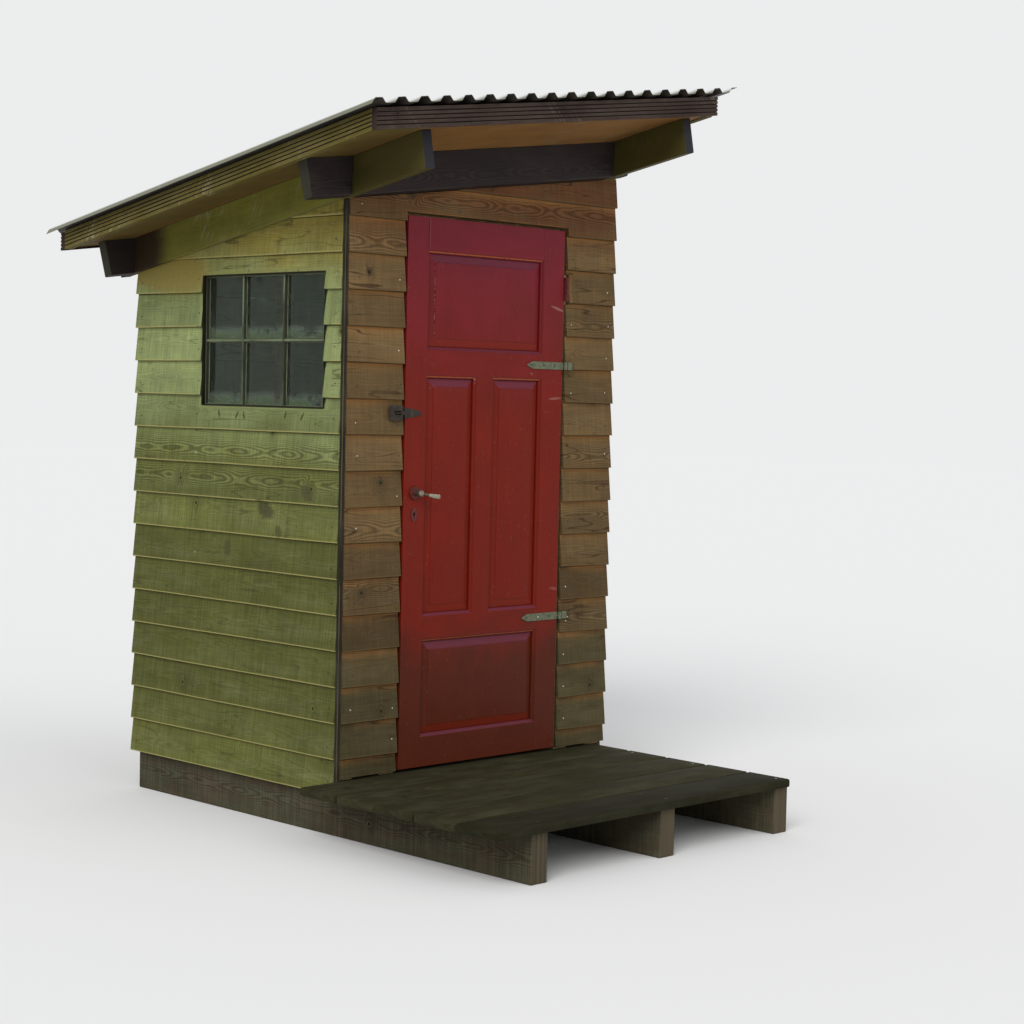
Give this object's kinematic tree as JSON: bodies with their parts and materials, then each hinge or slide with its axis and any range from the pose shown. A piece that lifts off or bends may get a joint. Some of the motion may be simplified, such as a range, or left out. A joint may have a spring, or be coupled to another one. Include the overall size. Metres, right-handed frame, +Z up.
{
  "type": "wooden outhouse",
  "caption": "Small lap-sided timber outhouse with a red panelled door on strap hinges, a side window, a sloping corrugated roof and a plank step deck.",
  "frame": {"origin": "on the ground under the middle of the cabin, on the underside of the middle bearer", "axes": "+Z up; the door faces -Y; +X to the right as seen from the door side"},
  "size_m": [1.827, 2.37, 2.7543],
  "materials": {
    "siding_olive": "weathered lap boards, grey-green",
    "siding_brown": "weathered lap boards, warm brown",
    "frame_timber": "sawn framing timber",
    "beam_timber": "dark stained planed beam",
    "roof_board": "orange-brown board",
    "edge_board": "dark grooved plank",
    "deck_wood": "grey-brown walked plank",
    "bearer_wood": "rough dark timber",
    "sheet": "pale corrugated roofing sheet",
    "red_paint": "painted wood, satin red",
    "red_metal": "painted over in red",
    "zinc": "dull galvanised steel",
    "black_iron": "black japanned iron",
    "lever_metal": "dull grey",
    "window_wood": "dark grey-green",
    "glass": "clear, dusty"
  },
  "bodies": {
    "cabin": {"bearers": "bearer_wood", "deck_planks": "deck_wood", "floor": "deck_wood", "corner_posts": "frame_timber", "corner_strip": "beam_timber", "door_post_latch": "frame_timber", "door_post_hinge": "frame_timber", "door_head": "frame_timber", "wall_studs": "frame_timber", "front_wall_left": "siding_brown", "front_wall_right": "siding_brown", "front_wall_over_door": "siding_brown", "left_wall": "siding_olive", "right_wall": "siding_olive", "back_wall": "siding_olive", "window_frame": "window_wood", "window_glass": "glass", "left_beam": "beam_timber", "right_beam": "beam_timber", "front_beam": "beam_timber", "back_beam": "beam_timber", "roof_boards": "roof_board", "front_edge_board": "edge_board", "back_edge_board": "edge_board", "left_edge_board": "edge_board", "right_edge_board": "edge_board", "roof_battens": "frame_timber", "roof_sheet": "sheet", "hinge_plates": "zinc", "staple": "black_iron"},
    "door": {"lock_stile": "red_paint", "hinge_stile": "red_paint", "top_rail": "red_paint", "upper_rail": "red_paint", "lower_rail": "red_paint", "bottom_rail": "red_paint", "mullion": "red_paint", "door_panels": "red_paint", "strap_hinges": "zinc", "old_hinge": "red_metal", "lock_plates": "red_metal", "hasp_leaf": "black_iron"},
    "lever": {"lever_handle": "lever_metal"},
    "hasp": {"hasp": "black_iron"}
  },
  "joints": [
    {"name": "door_hinge", "type": "hinge", "parent": "cabin", "child": "door", "pos_m": [0.415, -0.6275, 0], "axis": [0, 0, 1], "range_deg": [0, 110]},
    {"name": "lever_turn", "type": "hinge", "parent": "door", "child": "lever", "pos_m": [-0.349, -0.6195, 1.21], "axis": [0, 1, 0], "range_deg": [0, 40], "stiffness_Nm_per_rad": 0.8, "springref_deg": -45.84},
    {"name": "hasp_hinge", "type": "hinge", "parent": "door", "child": "hasp", "pos_m": [-0.404, -0.6255, 1.497], "axis": [0, 0, 1], "range_deg": [0, 150]}
  ]
}
